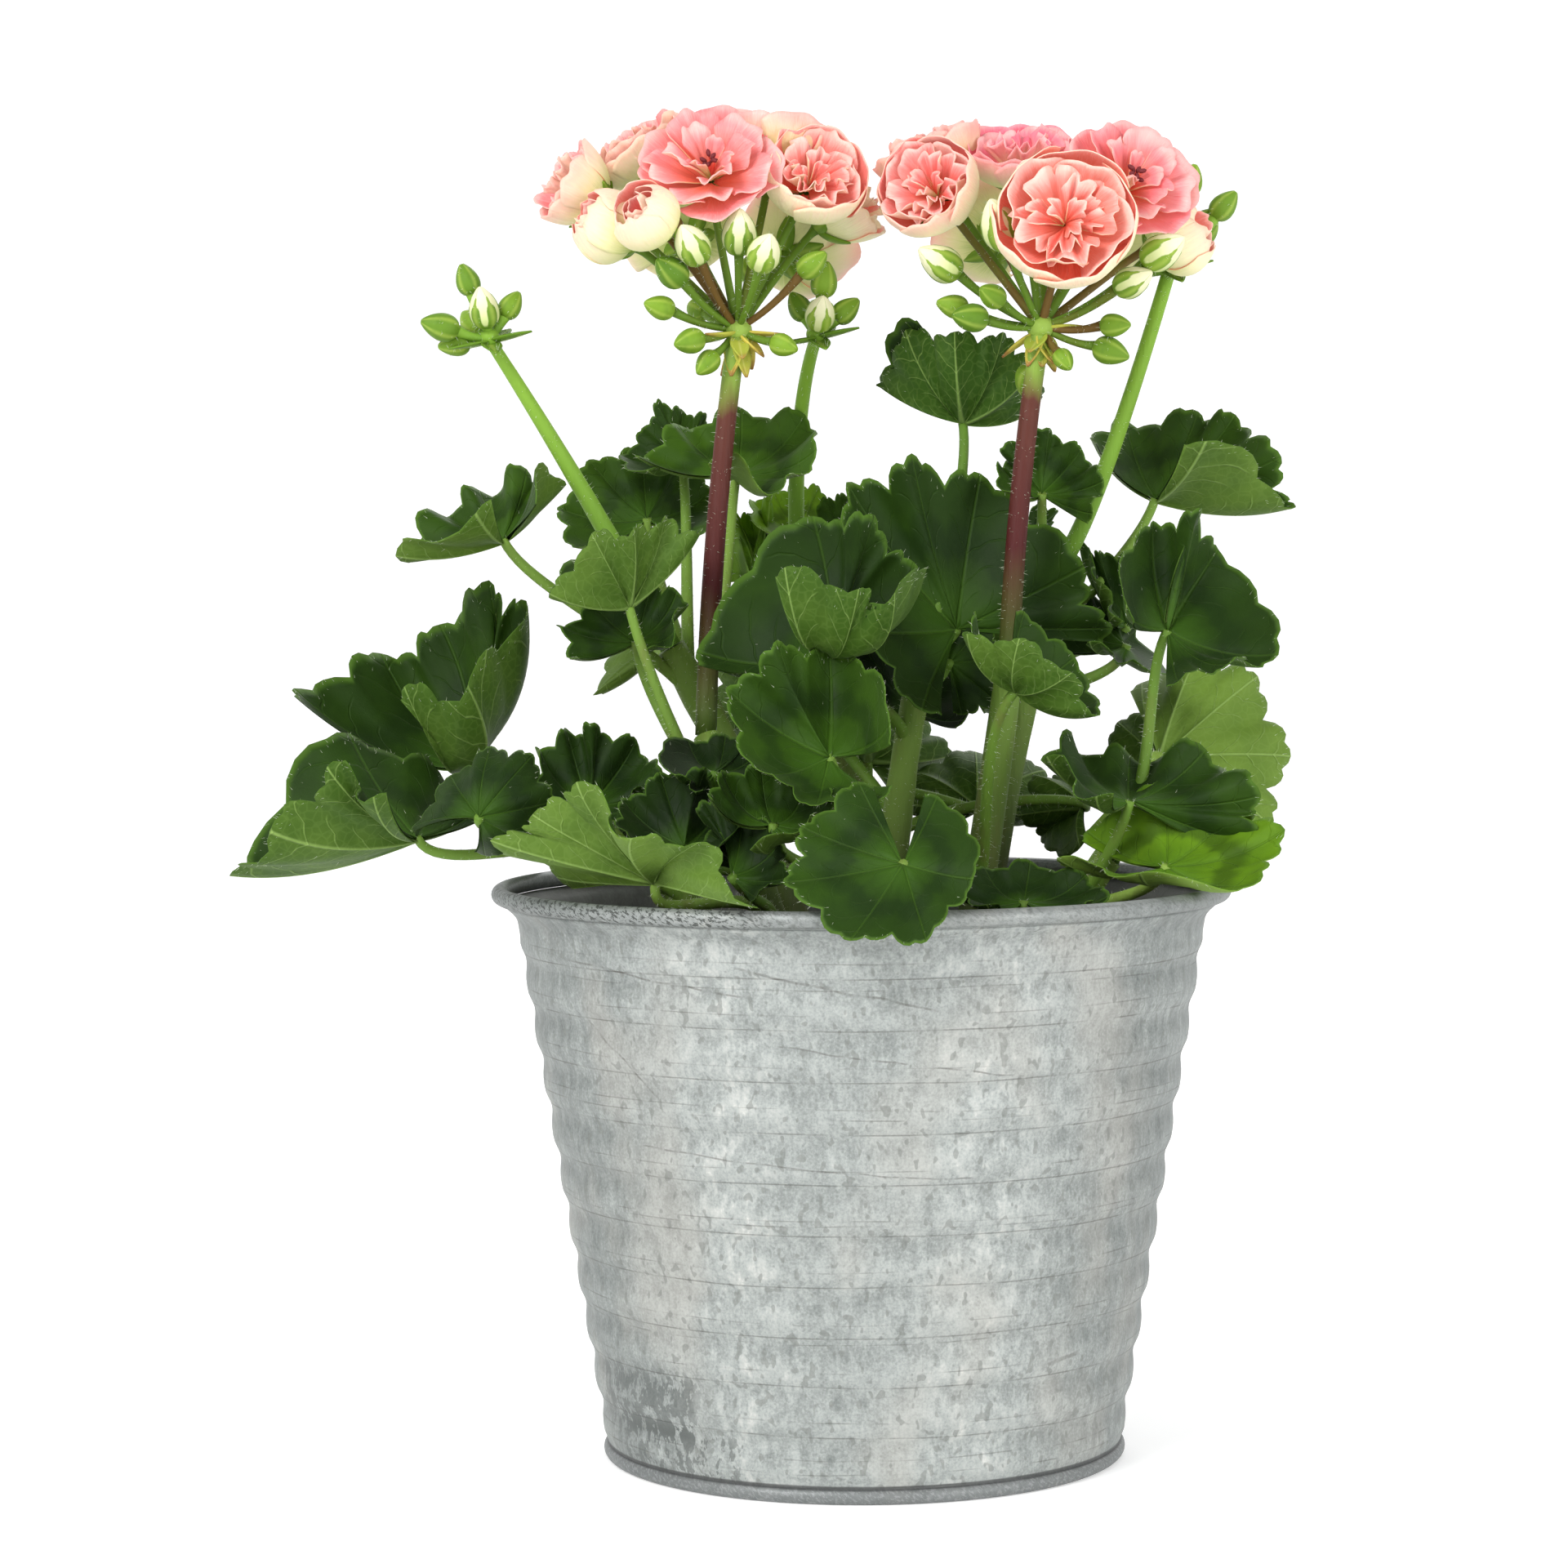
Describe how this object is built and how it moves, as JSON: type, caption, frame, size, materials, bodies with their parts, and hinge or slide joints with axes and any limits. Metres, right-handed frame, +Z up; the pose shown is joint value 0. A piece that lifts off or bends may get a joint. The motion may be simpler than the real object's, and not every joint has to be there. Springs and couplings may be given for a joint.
{
  "type": "potted zonal geranium",
  "caption": "Zonal geranium in a ribbed zinc pot: lobed leaves on upright stems, round heads of salmon double blooms, and heads still in bud.",
  "frame": {"origin": "middle of the pot's flat underside, on the table", "axes": "+Z up along the pot's axis and the plant's height, -Y towards the viewer of the picture, +X to the viewer's right"},
  "size_m": [0.2555, 0.1904, 0.3279],
  "materials": {
    "zinc": "weathered galvanised sheet, mottled grey with fine rings and scratches",
    "soil": "dark crumbly potting soil",
    "leaf": "soft matte leaf, darker horseshoe zone, pale underside, fine hairs",
    "flower_stalk": "smooth hairy stalk, red-brown below and green above",
    "petal": "soft salmon petal, cream outside",
    "bud_stalk": "light green hairy stalk and buds"
  },
  "bodies": {
    "root": {"pot_wall": "zinc", "pot_base": "zinc", "soil": "soil", "stem_left": "leaf", "stem_front_left": "leaf", "stem_front": "leaf", "stem_upper_left": "leaf", "stem_middle": "leaf", "stem_right_stem": "leaf", "stem_upper_right": "leaf", "stem_right": "leaf", "stem_back": "leaf", "flower_stalk_left": "flower_stalk", "bloom_left_open": "petal", "bloom_left_rose": "petal", "bloom_left_pale": "petal", "bloom_left_upper": "petal", "bloom_left_far": "petal", "bloom_left_lower": "petal", "bloom_left_rolled": "petal", "bloom_left_behind": "petal", "bloom_left_back_left": "petal", "bloom_left_back_right": "petal", "flower_stalk_right": "flower_stalk", "bloom_right_open": "petal", "bloom_right_front": "petal", "bloom_right_rose": "petal", "bloom_right_top": "petal", "bloom_right_upper": "petal", "bloom_right_pale": "petal", "bloom_right_back_left": "petal", "bloom_right_back_right": "petal", "bud_stalk_left": "bud_stalk", "bud_stalk_middle": "bud_stalk", "bud_stalk_right": "bud_stalk"}
  },
  "joints": []
}
